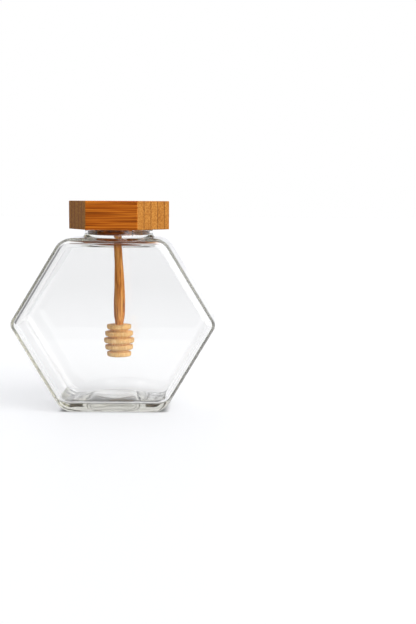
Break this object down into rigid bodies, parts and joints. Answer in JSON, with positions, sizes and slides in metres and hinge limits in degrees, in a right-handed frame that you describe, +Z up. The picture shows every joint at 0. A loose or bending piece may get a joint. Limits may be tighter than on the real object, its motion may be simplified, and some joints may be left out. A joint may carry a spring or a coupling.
{
  "type": "hexagonal honey jar",
  "caption": "Clear glass jar shaped as an upright hexagon, with a hexagonal bamboo stopper lid and a wooden honey dipper hanging inside it.",
  "frame": {"origin": "middle of the jar's foot, on the table", "axes": "+Z up, +X to the right along the wide hexagonal face, +Y through the jar from front to back"},
  "size_m": [0.12, 0.0552, 0.1239],
  "materials": {
    "clear_glass": "clear, smooth, pressed and fire-polished",
    "bamboo": "laminated carbonised bamboo, sanded and oiled to a satin",
    "stick_wood": "shaved round stick, oiled",
    "head_wood": "pale turned hardwood, bare"
  },
  "bodies": {
    "root": {"glass_jar": "clear_glass", "bamboo_lid": "bamboo", "dipper_stick": "stick_wood", "dipper_head": "head_wood"}
  },
  "joints": []
}
